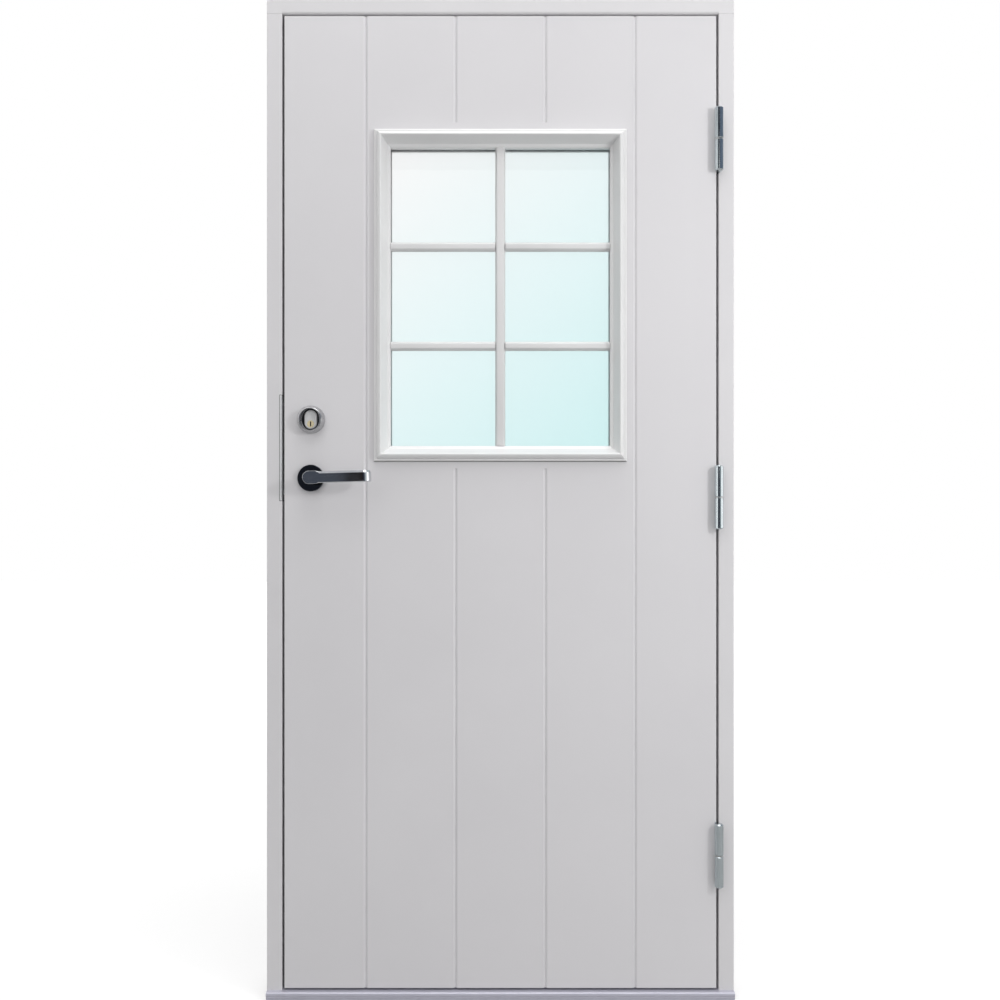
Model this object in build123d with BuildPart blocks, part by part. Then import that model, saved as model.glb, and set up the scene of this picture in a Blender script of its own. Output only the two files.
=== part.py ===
"""Outward-opening front door with a small-paned window, hung in its rebated frame.

Millimetres, +Z up, +X to the right, the outside of the door faces -Y.
The origin is the middle of the threshold's underside.
"""

import os

from build123d import *

os.makedirs("parts", exist_ok=True)

# Frame
frame_width = 988
frame_height = 2115
frame_depth = 105
jamb_face = 32
head_face = 30
head_round = 4.5
stop_lap = 12
eased_edge = 1.5
place_tolerance = 0.01
screw_hole_radius = 5
screw_cap_radius = 8
screw_cap_depth = 6
screw_count = 4
screw_low = 205
screw_top_margin = 125
screw_setback = 56

# Threshold
sill_height = 19
nosing_plate = 3
nosing_overhang = 12
nosing_round = 4
nosing_steps = ((12.5, 1.8), (6.5, 1.5))

# Weather seal in the rebate
seal_width = 8
seal_thickness = 3
seal_clearance = 5
seal_inset = 1

# Leaf
leaf_thickness = 62
edge_gap = 5
sill_gap = 5
outer_skin_thickness = 6
inner_skin_thickness = 5
stile_width = 95
top_rail_height = 60
bottom_rail_height = 110
skin_round = 1.2

# Grooves that divide the outside into boards
groove_inner_x = 95
groove_outer_x = 285
groove_width = 8.5
groove_depth = 3.4
groove_margin = 15

# Window
window_drop = 240
sight_width = 467
sight_height = 635
trim_width = 33.6
trim_leg = 19
trim_lip = 5
trim_lip_round = 2.5
trim_lip_width = 6.5
trim_round = 13.5
trim_crest = 18
trim_crest_width = 13.5
trim_crest_end = 16.5
trim_crest_drop = 1.5
trim_slope_end = 27
trim_ledge_setback = 9
trim_ledge_end = 31.6
trim_ledge_fall = 3
trim_sight_fall = 5
glass_setback = 22
cutout_clearance = 1
pane_thickness = 4
glass_edge_clearance = 1
spacer_width = 17.5

# Hinges
hinge_top_margin = 264
hinge_bottom_margin = 284
hinge_offset_x = 3
hinge_offset_y = 12.5
knuckle_radius = 9
knuckle_height = 66
washer_thickness = 2.4
washer_clearance = 0.3
pin_radius = 5
pin_length = 45
pin_clearance = 0.2
knuckle_bevel = 1.2
cap_bevel = 2.5
plate_neck = 10
plate_thickness = 3
plate_depth = 34
plate_corner = 6
plate_setback = 1

# Lock
backset = 57
handle_z = 1102.5
cylinder_spacing = 123.5
faceplate_width = 22
faceplate_height = 235
faceplate_thickness = 3
faceplate_raise = 60
fitted_clearance = 0.2
bolt_width = 14
bolt_length = 34
latch_height = 22
latch_z = 1145
deadbolt_height = 30
deadbolt_z = 1188
bolt_clearance = 0.4
strike_thickness = 5.3
strike_recess = 0.7
strike_width = 46
strike_height = 225
strike_pocket = 22
strike_hole_clearance = 2

# Lever handle
rose_radius = 28.2
rose_height = 9
rose_bevel = 1
neck_radius = 9
neck_clearance = 0.3
neck_start = 2
lever_reach = 58
lever_length = 131
lever_back = 9
lever_height = 24
lever_thickness = 9
lever_return = 22
lever_bend = 15
lever_bevel_height = 4.4
lever_bevel_depth = 3
lever_lower_bevel = 1.5
lever_rise = 1.6
tongue_length = 38.5
tongue_height = 27
tongue_thickness = 13
tongue_bevel = 0.6
spindle_size = 8
spindle_clearance = 0.1
spindle_grip = 34
spindle_hole_radius = 11

# Cylinder and its ring
ring_radius = 29.5
ring_front_radius = 24.5
ring_height = 20
ring_rim = 4
ring_bevel = 1.2
ring_mouth_width = 39
ring_mouth_height = 45.5
ring_mouth_depth = 12
oval_width = 27
oval_height = 40
oval_clearance = 0.3
oval_recess = 11
oval_bevel = 1.6
plug_radius = 7.5
plug_drop = 9.5
plug_length = 30
plug_clearance = 0.15
keyway_width = 2.6
keyway_height = 10
keyway_depth = 8

# Inside turn
turn_neck_radius = 7
turn_neck_height = 8
turn_width = 13
turn_length = 36
turn_height = 20
turn_bevel = 2

# Places worked out from the sizes above
half_width = frame_width / 2
front = -frame_depth / 2
back = frame_depth / 2
rebate_x = half_width - jamb_face
leaf_half = rebate_x - edge_gap
stop_x = leaf_half - stop_lap
head_bottom = frame_height - head_face
leaf_top = head_bottom - edge_gap
leaf_bottom = sill_height + sill_gap
stop_z = leaf_top - stop_lap
upstand_z = leaf_bottom + stop_lap
leaf_back = front + leaf_thickness
leaf_middle = front + leaf_thickness / 2
stop_front = leaf_back + seal_clearance + seal_thickness
core_front = front + outer_skin_thickness
core_back = leaf_back - inner_skin_thickness
stile_x = leaf_half - stile_width
sight_half_x = sight_width / 2
sight_half_z = sight_height / 2
cutout_half_x = sight_half_x + trim_leg + cutout_clearance
cutout_half_z = sight_half_z + trim_leg + cutout_clearance
window_centre_z = leaf_top - window_drop - trim_width - sight_half_z
glass_front = front + glass_setback
glass_back = leaf_back - glass_setback
hinge_x = leaf_half + hinge_offset_x
hinge_y = front - hinge_offset_y
hinge_high = leaf_top - hinge_top_margin
hinge_low = leaf_bottom + hinge_bottom_margin
hinge_heights = {"upper": hinge_high, "middle": (hinge_high + hinge_low) / 2, "lower": hinge_low}
leaf_plate_low = washer_thickness / 2
frame_plate_low = -washer_thickness / 2 - knuckle_height
handle_x = backset - leaf_half
cylinder_z = handle_z + cylinder_spacing
faceplate_z = handle_z + faceplate_raise
bolts = ((latch_z, latch_height), (deadbolt_z, deadbolt_height))
strike_z = (latch_z + deadbolt_z) / 2


def facing(y):
    """Plane at depth y that looks out of the front: X across, Z up."""
    return Plane.XZ.offset(-y)


def span(u0, u1, v0, v1, mode=Mode.ADD):
    """Rectangle from corner to corner in the sketch that is open."""
    with Locations(((u0 + u1) / 2, (v0 + v1) / 2)):
        Rectangle(u1 - u0, v1 - v0, mode=mode)


def finish(piece, name):
    """Label a finished piece and write it."""
    piece.label = name
    export_step(piece, f"parts/{name}.step")


def long_edges(builder, axis, x=None, y=None, z=None):
    """Straight edges along an axis that lie at the given coordinates."""
    chosen = builder.edges().filter_by(axis)
    for value, pick in ((x, "X"), (y, "Y"), (z, "Z")):
        if value is not None:
            chosen = chosen.filter_by(
                lambda e, v=value, p=pick: abs(getattr(e.center(), p) - v) < place_tolerance
            )
    return chosen


def jamb_section(side):
    """Rebated jamb seen from above; side is -1 at the lock and 1 at the hinges."""
    with BuildSketch(Plane.XY.offset(sill_height)) as section:
        with BuildLine():
            Polyline(
                (side * half_width, front),
                (side * half_width, back),
                (side * stop_x, back),
                (side * stop_x, stop_front),
                (side * rebate_x, stop_front),
                (side * rebate_x, front),
                close=True,
            )
        make_face()
    return section.sketch


def screw_planes(side):
    """Where the frame screws enter a jamb, looking into its rebate."""
    pitch = (frame_height - screw_top_margin - screw_low) / (screw_count - 1)
    places = []
    for number in range(screw_count):
        height = screw_low + number * pitch
        places.append(Plane((side * rebate_x, front + screw_setback, height), z_dir=(-side, 0, 0)))
    return places


def hinge_mortises(edge_x, direction, plate_low):
    """Solids that cut the three plates' mortises; direction is the way they go into the timber."""
    with BuildPart() as cutter:
        for height in hinge_heights.values():
            with BuildSketch(Plane.YZ.offset(edge_x)) as outline:
                low = height + plate_low
                span(front, front + plate_depth, low, low + knuckle_height)
                fillet(outline.vertices().group_by(Axis.X)[-1], plate_corner)
            extrude(amount=direction * plate_thickness)
    return cutter.part


# Frame head, rounded over the leaf
with BuildPart() as frame_head:
    with BuildSketch(Plane.YZ):
        span(front, back, head_bottom, frame_height)
    extrude(amount=half_width, both=True)
    with BuildSketch(Plane.YZ):
        span(stop_front, back, stop_z, head_bottom)
    extrude(amount=stop_x, both=True)
    fillet(long_edges(frame_head, Axis.X, y=front), eased_edge)
    with BuildSketch(Plane.YZ):
        span(front, front + head_round, head_bottom, head_bottom + head_round)
        with Locations((front + head_round, head_bottom + head_round)):
            Circle(head_round, mode=Mode.SUBTRACT)
    extrude(amount=rebate_x, both=True, mode=Mode.SUBTRACT)
finish(frame_head.part, "frame_head")

# Lock jamb, with the strike's mortise and a pocket for each bolt
with BuildPart() as lock_jamb:
    add(jamb_section(-1))
    extrude(amount=head_bottom - sill_height)
    fillet(long_edges(lock_jamb, Axis.Z, y=front), eased_edge)
    with Locations(*screw_planes(-1)):
        CounterBoreHole(screw_hole_radius, screw_cap_radius, screw_cap_depth, jamb_face)
    with BuildSketch(Plane.YZ.offset(-rebate_x)):
        span(front, front + strike_width, strike_z - strike_height / 2, strike_z + strike_height / 2)
    extrude(amount=-strike_recess - strike_thickness, mode=Mode.SUBTRACT)
    with BuildSketch(Plane.YZ.offset(-rebate_x)):
        for bolt_z, bolt_height in bolts:
            with Locations((leaf_middle, bolt_z)):
                Rectangle(bolt_width + 2 * strike_hole_clearance, bolt_height + 2 * strike_hole_clearance)
    extrude(amount=-strike_pocket, mode=Mode.SUBTRACT)
finish(lock_jamb.part, "lock_jamb")

# Hinge jamb, with a mortise for each hinge plate
with BuildPart() as hinge_jamb:
    add(jamb_section(1))
    extrude(amount=head_bottom - sill_height)
    fillet(long_edges(hinge_jamb, Axis.Z, y=front), eased_edge)
    with Locations(*screw_planes(1)):
        CounterBoreHole(screw_hole_radius, screw_cap_radius, screw_cap_depth, jamb_face)
    add(hinge_mortises(rebate_x, 1, frame_plate_low), mode=Mode.SUBTRACT)
finish(hinge_jamb.part, "hinge_jamb")

# Threshold: a timber base with an upstand behind the leaf
with BuildPart() as threshold_base:
    with BuildSketch(Plane.YZ):
        span(front, back, 0, sill_height)
        span(front, stop_front, sill_height - nosing_plate, sill_height, mode=Mode.SUBTRACT)
    extrude(amount=half_width, both=True)
    with BuildSketch(Plane.YZ):
        span(stop_front, back, sill_height, upstand_z)
    extrude(amount=stop_x, both=True)
    fillet(long_edges(threshold_base, Axis.X, z=upstand_z), eased_edge)
finish(threshold_base.part, "threshold_base")

# Threshold: an aluminium cap with a rounded nose, stepped back below it
with BuildPart() as threshold_nosing:
    with BuildSketch(Plane.YZ) as nosing_section:
        nose = front - nosing_overhang
        front_line = [(nose, sill_height)]
        for step_z, step_back in nosing_steps:
            reach = front_line[-1][0]
            front_line.append((reach, step_z))
            front_line.append((reach + step_back, step_z - step_back))
        front_line.append((front_line[-1][0], 0))
        with BuildLine():
            Polyline(
                (stop_front, sill_height - nosing_plate),
                (stop_front, sill_height),
                *front_line,
                (front, 0),
                (front, sill_height - nosing_plate),
                close=True,
            )
        make_face()
        fillet(nosing_section.vertices().group_by(Axis.X)[0].sort_by(Axis.Y)[-1], nosing_round)
    extrude(amount=half_width, both=True)
finish(threshold_nosing.part, "threshold_nosing")

# Weather seal all round the rebate
with BuildPart() as weather_seal:
    seal_x = leaf_half - seal_inset
    seal_inner = seal_x - seal_width
    with BuildSketch(facing(stop_front)):
        span(-seal_x, seal_x, leaf_bottom + seal_inset, leaf_top - seal_inset)
        span(-seal_inner, seal_inner, leaf_bottom + seal_inset + seal_width,
             leaf_top - seal_inset - seal_width, mode=Mode.SUBTRACT)
    extrude(amount=seal_thickness)
    chamfer(weather_seal.faces().sort_by(Axis.Y)[0].edges(), seal_thickness / 3)
finish(weather_seal.part, "weather_seal")

# Strike plate
with BuildPart() as strike_plate:
    with BuildSketch(Plane.YZ.offset(-rebate_x - strike_recess)):
        span(front, front + strike_width, strike_z - strike_height / 2, strike_z + strike_height / 2)
        for bolt_z, bolt_height in bolts:
            with Locations((leaf_middle, bolt_z)):
                Rectangle(bolt_width + 2 * strike_hole_clearance, bolt_height + 2 * strike_hole_clearance,
                          mode=Mode.SUBTRACT)
    extrude(amount=-strike_thickness)
    strike_rim = long_edges(strike_plate, Axis.Z, y=front) + long_edges(strike_plate, Axis.X, y=front)
    fillet(strike_rim, eased_edge)
finish(strike_plate.part, "strike_plate")


def leaf_outline(y, depth):
    """Sheet the size of the leaf with the window cut out, from y back by depth."""
    with BuildPart() as sheet:
        with BuildSketch(facing(y)):
            span(-leaf_half, leaf_half, leaf_bottom, leaf_top)
            with Locations((0, window_centre_z)):
                Rectangle(2 * cutout_half_x, 2 * cutout_half_z, mode=Mode.SUBTRACT)
        extrude(amount=-depth)
        with BuildSketch(facing(y)):
            with Locations((handle_x, handle_z)):
                Circle(spindle_hole_radius)
            with Locations((handle_x, cylinder_z)):
                SlotOverall(oval_height + 2 * cutout_clearance, oval_width + 2 * cutout_clearance,
                            rotation=90)
        extrude(amount=-depth, mode=Mode.SUBTRACT)
    return sheet.part


def groove_runs():
    """Each groove's place across the leaf with the heights where it starts and ends."""
    trim_half_z = sight_half_z + trim_width
    below = window_centre_z - trim_half_z - groove_margin
    above = window_centre_z + trim_half_z + groove_margin
    runs = []
    for side in (-1, 1):
        runs.append((side * groove_outer_x, leaf_bottom, leaf_top))
        runs.append((side * groove_inner_x, leaf_bottom, below))
        runs.append((side * groove_inner_x, above, leaf_top))
    return runs


# Outer skin, grooved into boards
with BuildPart() as outer_skin:
    add(leaf_outline(front, outer_skin_thickness))
    fillet(long_edges(outer_skin, Axis.Z, x=leaf_half, y=front), skin_round)
    fillet(long_edges(outer_skin, Axis.Z, x=-leaf_half, y=front), skin_round)
    for groove_x, low, high in groove_runs():
        with BuildSketch(Plane.XY.offset(low)):
            with BuildLine():
                Polyline(
                    (groove_x - groove_width / 2, front),
                    (groove_x + groove_width / 2, front),
                    (groove_x, front + groove_depth),
                    close=True,
                )
            make_face()
        extrude(amount=high - low, mode=Mode.SUBTRACT)
    add(hinge_mortises(leaf_half, -1, leaf_plate_low), mode=Mode.SUBTRACT)
finish(outer_skin.part, "outer_skin")

# Inner skin, plain
with BuildPart() as inner_skin:
    add(leaf_outline(core_back, inner_skin_thickness))
finish(inner_skin.part, "inner_skin")

# Lock stile, bored for the spindle and cylinder and mortised for the lock
with BuildPart() as lock_stile:
    with BuildSketch(facing(core_front)):
        span(-leaf_half, -stile_x, leaf_bottom, leaf_top)
        with Locations((handle_x, handle_z)):
            Circle(spindle_hole_radius, mode=Mode.SUBTRACT)
        with Locations((handle_x, cylinder_z)):
            SlotOverall(oval_height + 2 * cutout_clearance, oval_width + 2 * cutout_clearance, rotation=90,
                        mode=Mode.SUBTRACT)
    extrude(amount=core_front - core_back)
    with BuildSketch(Plane.YZ.offset(-leaf_half)):
        with Locations((leaf_middle, faceplate_z)):
            SlotOverall(faceplate_height + 2 * fitted_clearance, faceplate_width + 2 * fitted_clearance,
                        rotation=90)
    extrude(amount=faceplate_thickness, mode=Mode.SUBTRACT)
    with BuildSketch(Plane.YZ.offset(-leaf_half)):
        for bolt_z, bolt_height in bolts:
            with Locations((leaf_middle, bolt_z)):
                Rectangle(bolt_width + 2 * bolt_clearance, bolt_height + 2 * bolt_clearance)
    extrude(amount=bolt_length + fitted_clearance, mode=Mode.SUBTRACT)
finish(lock_stile.part, "lock_stile")

# Hinge stile, mortised for the hinge plates
with BuildPart() as hinge_stile:
    with BuildSketch(facing(core_front)):
        span(stile_x, leaf_half, leaf_bottom, leaf_top)
    extrude(amount=core_front - core_back)
    add(hinge_mortises(leaf_half, -1, leaf_plate_low), mode=Mode.SUBTRACT)
finish(hinge_stile.part, "hinge_stile")

# Top and bottom rails between the stiles
for rail_name, rail_low, rail_high in (
    ("top_rail", leaf_top - top_rail_height, leaf_top),
    ("bottom_rail", leaf_bottom, leaf_bottom + bottom_rail_height),
):
    with BuildPart() as rail:
        with BuildSketch(facing(core_front)):
            span(-stile_x, stile_x, rail_low, rail_high)
        extrude(amount=core_front - core_back)
    finish(rail.part, rail_name)

# Insulation between stiles, rails and skins
with BuildPart() as insulation_core:
    with BuildSketch(facing(core_front)):
        span(-stile_x, stile_x, leaf_bottom + bottom_rail_height, leaf_top - top_rail_height)
        with Locations((0, window_centre_z)):
            Rectangle(2 * cutout_half_x, 2 * cutout_half_z, mode=Mode.SUBTRACT)
    extrude(amount=core_front - core_back)
finish(insulation_core.part, "insulation_core")


def trim_piece(outward, normal, face_y, half_u, half_v):
    """One mitred length of window moulding.

    outward points from the window's middle to this side, normal points out of the leaf's face,
    half_u and half_v are the sight opening's half sizes across and along the piece.
    """
    along = outward.cross(normal)
    middle = Vector(0, face_y, window_centre_z) + outward * half_u
    with BuildPart() as piece:
        with BuildSketch(Plane(middle, x_dir=outward, z_dir=along)) as section:
            with BuildLine():
                leg = Line((trim_leg, 0), (trim_leg, -glass_setback))
                seat = Line(leg @ 1, (0, -glass_setback))
                sight_edge = Line(seat @ 1, (0, -trim_ledge_setback - trim_sight_fall))
                ledge_end = Line(
                    sight_edge @ 1, (trim_width - trim_ledge_end, -trim_ledge_setback - trim_ledge_fall)
                )
                ledge = Line(ledge_end @ 1, (trim_width - trim_slope_end, -trim_ledge_setback))
                slope = Line(ledge @ 1, (trim_width - trim_crest_end, trim_crest - trim_crest_drop))
                crest = ThreePointArc(
                    slope @ 1,
                    (trim_width - (trim_crest_width + trim_crest_end) / 2, trim_crest),
                    (trim_width - trim_crest_width, trim_crest),
                )
                shoulder = RadiusArc(crest @ 1, (trim_width - trim_lip_width, trim_lip), trim_round)
                lip = Line(shoulder @ 1, (trim_width - trim_lip_round, trim_lip))
                lip_edge = RadiusArc(lip @ 1, (trim_width, trim_lip - trim_lip_round), trim_lip_round)
                edge = Line(lip_edge @ 1, (trim_width, 0))
                Line(edge @ 1, leg @ 0)
            make_face()
        extrude(amount=half_v + trim_width, both=True)
        for end in (-1, 1):
            corner = middle + along * (end * half_v)
            split(bisect_by=Plane(corner, z_dir=along * end - outward), keep=Keep.BOTTOM)
    return piece.part


# Window trim outside and inside
to_front = Vector(0, -1, 0)
to_back = Vector(0, 1, 0)
for face_name, normal, face_y in (("outer", to_front, front), ("inner", to_back, leaf_back)):
    for side_name, outward, half_u, half_v in (
        ("top", Vector(0, 0, 1), sight_half_z, sight_half_x),
        ("bottom", Vector(0, 0, -1), sight_half_z, sight_half_x),
        ("left", Vector(-1, 0, 0), sight_half_x, sight_half_z),
        ("right", Vector(1, 0, 0), sight_half_x, sight_half_z),
    ):
        trim = trim_piece(outward, normal, face_y, half_u, half_v)
        finish(trim, f"{face_name}_trim_{side_name}")

# Sealed glass unit
glass_half_x = cutout_half_x - glass_edge_clearance
glass_half_z = cutout_half_z - glass_edge_clearance
for pane_name, pane_front in (
    ("outer_glass_pane", glass_front),
    ("inner_glass_pane", glass_back - pane_thickness),
):
    with BuildPart() as pane:
        with BuildSketch(facing(pane_front)):
            with Locations((0, window_centre_z)):
                Rectangle(2 * glass_half_x, 2 * glass_half_z)
        extrude(amount=-pane_thickness)
    finish(pane.part, pane_name)

with BuildPart() as glass_spacer:
    with BuildSketch(facing(glass_front + pane_thickness)):
        with Locations((0, window_centre_z)):
            Rectangle(2 * glass_half_x, 2 * glass_half_z)
            Rectangle(2 * (glass_half_x - spacer_width), 2 * (glass_half_z - spacer_width),
                      mode=Mode.SUBTRACT)
    extrude(amount=glass_front - glass_back + 2 * pane_thickness)
finish(glass_spacer.part, "glass_spacer")


def knuckle(low, cap_up):
    """Round hinge barrel, bevelled more at its outer end than where it meets the other half."""
    with BuildPart() as barrel:
        with BuildSketch(Plane.XY.offset(low)):
            with Locations((hinge_x, hinge_y)):
                Circle(knuckle_radius)
        extrude(amount=knuckle_height)
        bottom, top = barrel.faces().filter_by(Axis.Z).sort_by(Axis.Z)
        chamfer(top.edges(), cap_bevel if cap_up else knuckle_bevel)
        chamfer(bottom.edges(), knuckle_bevel if cap_up else cap_bevel)
    return barrel.part


def hinge_plate(edge_x, direction, low):
    """Flat plate from the knuckle's axis back into the timber, rounded at its inner corners."""
    with BuildPart() as plate:
        with BuildSketch(Plane.YZ.offset(edge_x)) as outline:
            span(hinge_y, front + plate_depth, low, low + knuckle_height)
            fillet(outline.vertices().group_by(Axis.X)[-1], plate_corner)
        extrude(amount=direction * plate_thickness)
        plate_near = front - plate_setback
        with BuildSketch(Plane.XY.offset(low)):
            span(hinge_x - knuckle_radius, hinge_x + knuckle_radius, hinge_y, plate_near)
        extrude(amount=plate_neck, mode=Mode.SUBTRACT)
        with BuildSketch(Plane.XY.offset(low + knuckle_height)):
            span(hinge_x - knuckle_radius, hinge_x + knuckle_radius, hinge_y, plate_near)
        extrude(amount=-plate_neck, mode=Mode.SUBTRACT)
    return plate.part


# Hinges: the frame half carries the pin, the leaf half turns on it
for place, height in hinge_heights.items():
    frame_low = height + frame_plate_low
    leaf_low = height + leaf_plate_low
    pin_low = frame_low + knuckle_height
    with BuildPart() as frame_half:
        add(knuckle(frame_low, cap_up=False))
        add(hinge_plate(rebate_x, 1, frame_low))
        with BuildSketch(Plane.XY.offset(pin_low)):
            with Locations((hinge_x, hinge_y)):
                Circle(pin_radius)
        extrude(amount=pin_length)
        chamfer(frame_half.faces().sort_by(Axis.Z)[-1].edges(), knuckle_bevel)
    finish(frame_half.part, f"hinge_frame_half_{place}")

    with BuildPart() as turning_half:
        add(knuckle(leaf_low, cap_up=True))
        add(hinge_plate(leaf_half, -1, leaf_low))
        with BuildSketch(Plane.XY.offset(leaf_low)):
            with Locations((hinge_x, hinge_y)):
                Circle(pin_radius + pin_clearance)
        extrude(amount=pin_length, mode=Mode.SUBTRACT)
    finish(turning_half.part, f"hinge_leaf_half_{place}")

# Washers between the knuckles, resting on the frame halves
with BuildPart() as hinge_washers:
    for height in hinge_heights.values():
        with BuildSketch(Plane.XY.offset(height - washer_thickness / 2)):
            with Locations((hinge_x, hinge_y)):
                Circle(knuckle_radius - knuckle_bevel)
                Circle(pin_radius + pin_clearance, mode=Mode.SUBTRACT)
        extrude(amount=washer_thickness - washer_clearance)
finish(hinge_washers.part, "hinge_washers")

# Lock faceplate in the edge of the leaf
with BuildPart() as lock_faceplate:
    with BuildSketch(Plane.YZ.offset(-leaf_half)):
        with Locations((leaf_middle, faceplate_z)):
            SlotOverall(faceplate_height, faceplate_width, rotation=90)
        for bolt_z, bolt_height in bolts:
            with Locations((leaf_middle, bolt_z)):
                Rectangle(bolt_width + 2 * bolt_clearance, bolt_height + 2 * bolt_clearance,
                          mode=Mode.SUBTRACT)
    extrude(amount=faceplate_thickness)
finish(lock_faceplate.part, "lock_faceplate")

# Latch and deadbolt, both drawn back flush with the faceplate
with BuildPart() as lock_bolts:
    with BuildSketch(Plane.YZ.offset(-leaf_half)):
        for bolt_z, bolt_height in bolts:
            with Locations((leaf_middle, bolt_z)):
                Rectangle(bolt_width, bolt_height)
    extrude(amount=bolt_length)
finish(lock_bolts.part, "lock_bolts")


def outer_face(builder, direction):
    """Face of a fitting that is farthest from the leaf; direction is -1 outside and 1 inside."""
    faces = builder.faces().sort_by(Axis.Y)
    return faces[0] if direction < 0 else faces[-1]


def rose(centre_z, face_y, direction, bore_radius):
    """Round cover plate with a bevelled rim on one face of the leaf, bored for what turns in it."""
    with BuildPart() as cover:
        with BuildSketch(facing(face_y)):
            with Locations((handle_x, centre_z)):
                Circle(rose_radius)
        extrude(amount=-direction * rose_height)
        chamfer(outer_face(cover, direction).edges(), rose_bevel)
        with BuildSketch(facing(face_y)):
            with Locations((handle_x, centre_z)):
                Circle(bore_radius)
        extrude(amount=-direction * rose_height, mode=Mode.SUBTRACT)
    return cover.part


def bevelled_bar_section(middle_y, direction):
    """Section of the lever's bar, with a broad bevel above its front and a narrow one below."""
    half_height = lever_height / 2
    half_thickness = lever_thickness / 2
    plane = Plane((handle_x, middle_y, handle_z), x_dir=(0, direction, 0), z_dir=(direction, 0, 0))
    with BuildSketch(plane) as section:
        with BuildLine():
            Polyline(
                (-half_thickness, -half_height),
                (half_thickness - lever_lower_bevel, -half_height),
                (half_thickness, lever_lower_bevel - half_height),
                (half_thickness, half_height - lever_bevel_height),
                (half_thickness - lever_bevel_depth, half_height),
                (-half_thickness, half_height),
                close=True,
            )
        make_face()
    return section.sketch


def lever_tongue(front_y, direction):
    """Hub of the lever, rounded at both ends and bevelled round its front."""
    with BuildPart() as tongue:
        with BuildSketch(facing(front_y)):
            with Locations((handle_x - lever_back + tongue_length / 2, handle_z)):
                SlotOverall(tongue_length, tongue_height)
        extrude(amount=direction * tongue_thickness)
        chamfer(outer_face(tongue, direction).edges(), tongue_bevel)
    return tongue.part


def lever(face_y, direction):
    """Lever on one face of the leaf: neck, tongue-shaped hub and a bar that turns back at its tip."""
    front_y = face_y + direction * lever_reach
    middle_y = front_y - direction * lever_thickness / 2
    end_y = front_y - direction * lever_return
    neck_y = face_y + direction * neck_start
    tip_x = handle_x + lever_length - lever_thickness / 2
    with BuildPart() as handle:
        with BuildLine(Plane.XY.offset(handle_z)) as bar_path:
            FilletPolyline((handle_x, middle_y), (tip_x, middle_y), (tip_x, end_y),
                           radius=lever_bend - lever_thickness / 2)
        sweep(sections=bevelled_bar_section(middle_y, direction), path=bar_path.wires()[0])
        add(lever_tongue(front_y, direction))
        with BuildSketch(facing(neck_y)):
            with Locations((handle_x, handle_z)):
                Circle(neck_radius)
        extrude(amount=-direction * (lever_reach - neck_start - lever_thickness))
        socket = spindle_size + 2 * spindle_clearance
        with BuildSketch(facing(neck_y)):
            with Locations((handle_x, handle_z)):
                Rectangle(socket, socket)
        extrude(amount=-direction * (spindle_grip - neck_start), mode=Mode.SUBTRACT)
    return handle.part.rotate(spindle_axis, -lever_rise)


# Handle roses and levers on both faces
spindle_axis = Axis((handle_x, 0, handle_z), (0, 1, 0))
for face_name, face_y, direction in (("outer", front, -1), ("inner", leaf_back, 1)):
    finish(rose(handle_z, face_y, direction, neck_radius + neck_clearance), f"{face_name}_handle_rose")
    finish(lever(face_y, direction), f"{face_name}_lever")

# Square spindle through the leaf, joining the two levers
with BuildPart() as handle_spindle:
    with BuildSketch(facing(front - spindle_grip)):
        with Locations((handle_x, handle_z)):
            Rectangle(spindle_size, spindle_size)
    extrude(amount=-(leaf_thickness + 2 * spindle_grip))
finish(handle_spindle.part.rotate(spindle_axis, -lever_rise), "handle_spindle")

# Tapered security ring with an oval mouth
with BuildPart() as cylinder_ring:
    with BuildSketch(Plane((handle_x, front, cylinder_z), x_dir=(1, 0, 0), z_dir=(0, 0, 1))):
        with BuildLine():
            Polyline(
                (0, 0),
                (ring_radius, 0),
                (ring_radius, -ring_rim),
                (ring_front_radius, -ring_height),
                (0, -ring_height),
                close=True,
            )
        make_face()
    revolve(axis=Axis((handle_x, front, cylinder_z), (0, 1, 0)))
    chamfer(outer_face(cylinder_ring, -1).edges(), ring_bevel)
    with BuildSketch(facing(front - ring_height)):
        with Locations((handle_x, cylinder_z)):
            SlotOverall(ring_mouth_height, ring_mouth_width, rotation=90)
    extrude(amount=-ring_mouth_depth, mode=Mode.SUBTRACT)
    with BuildSketch(facing(front)):
        with Locations((handle_x, cylinder_z)):
            SlotOverall(oval_height + 2 * oval_clearance, oval_width + 2 * oval_clearance, rotation=90)
    extrude(amount=ring_height, mode=Mode.SUBTRACT)
finish(cylinder_ring.part, "cylinder_ring")

# Oval lock cylinder, bored for its plug
plug_z = cylinder_z - plug_drop
cylinder_front = front - ring_height + oval_recess
with BuildPart() as lock_cylinder:
    with BuildSketch(facing(cylinder_front)):
        with Locations((handle_x, cylinder_z)):
            SlotOverall(oval_height, oval_width, rotation=90)
    extrude(amount=cylinder_front - leaf_back)
    chamfer(outer_face(lock_cylinder, -1).edges(), oval_bevel)
    with BuildSketch(facing(cylinder_front)):
        with Locations((handle_x, plug_z)):
            Circle(plug_radius + plug_clearance)
    extrude(amount=-plug_length - plug_clearance, mode=Mode.SUBTRACT)
finish(lock_cylinder.part, "lock_cylinder")

# Key plug with its keyway
with BuildPart() as key_plug:
    with BuildSketch(facing(cylinder_front)):
        with Locations((handle_x, plug_z)):
            Circle(plug_radius)
    extrude(amount=-plug_length)
    with BuildSketch(facing(cylinder_front)):
        with Locations((handle_x, plug_z)):
            Rectangle(keyway_width, keyway_height)
    extrude(amount=-keyway_depth, mode=Mode.SUBTRACT)
finish(key_plug.part, "key_plug")

# Turn knob and its rose on the inside
finish(rose(cylinder_z, leaf_back, 1, turn_neck_radius + fitted_clearance), "thumb_turn_rose")

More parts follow.
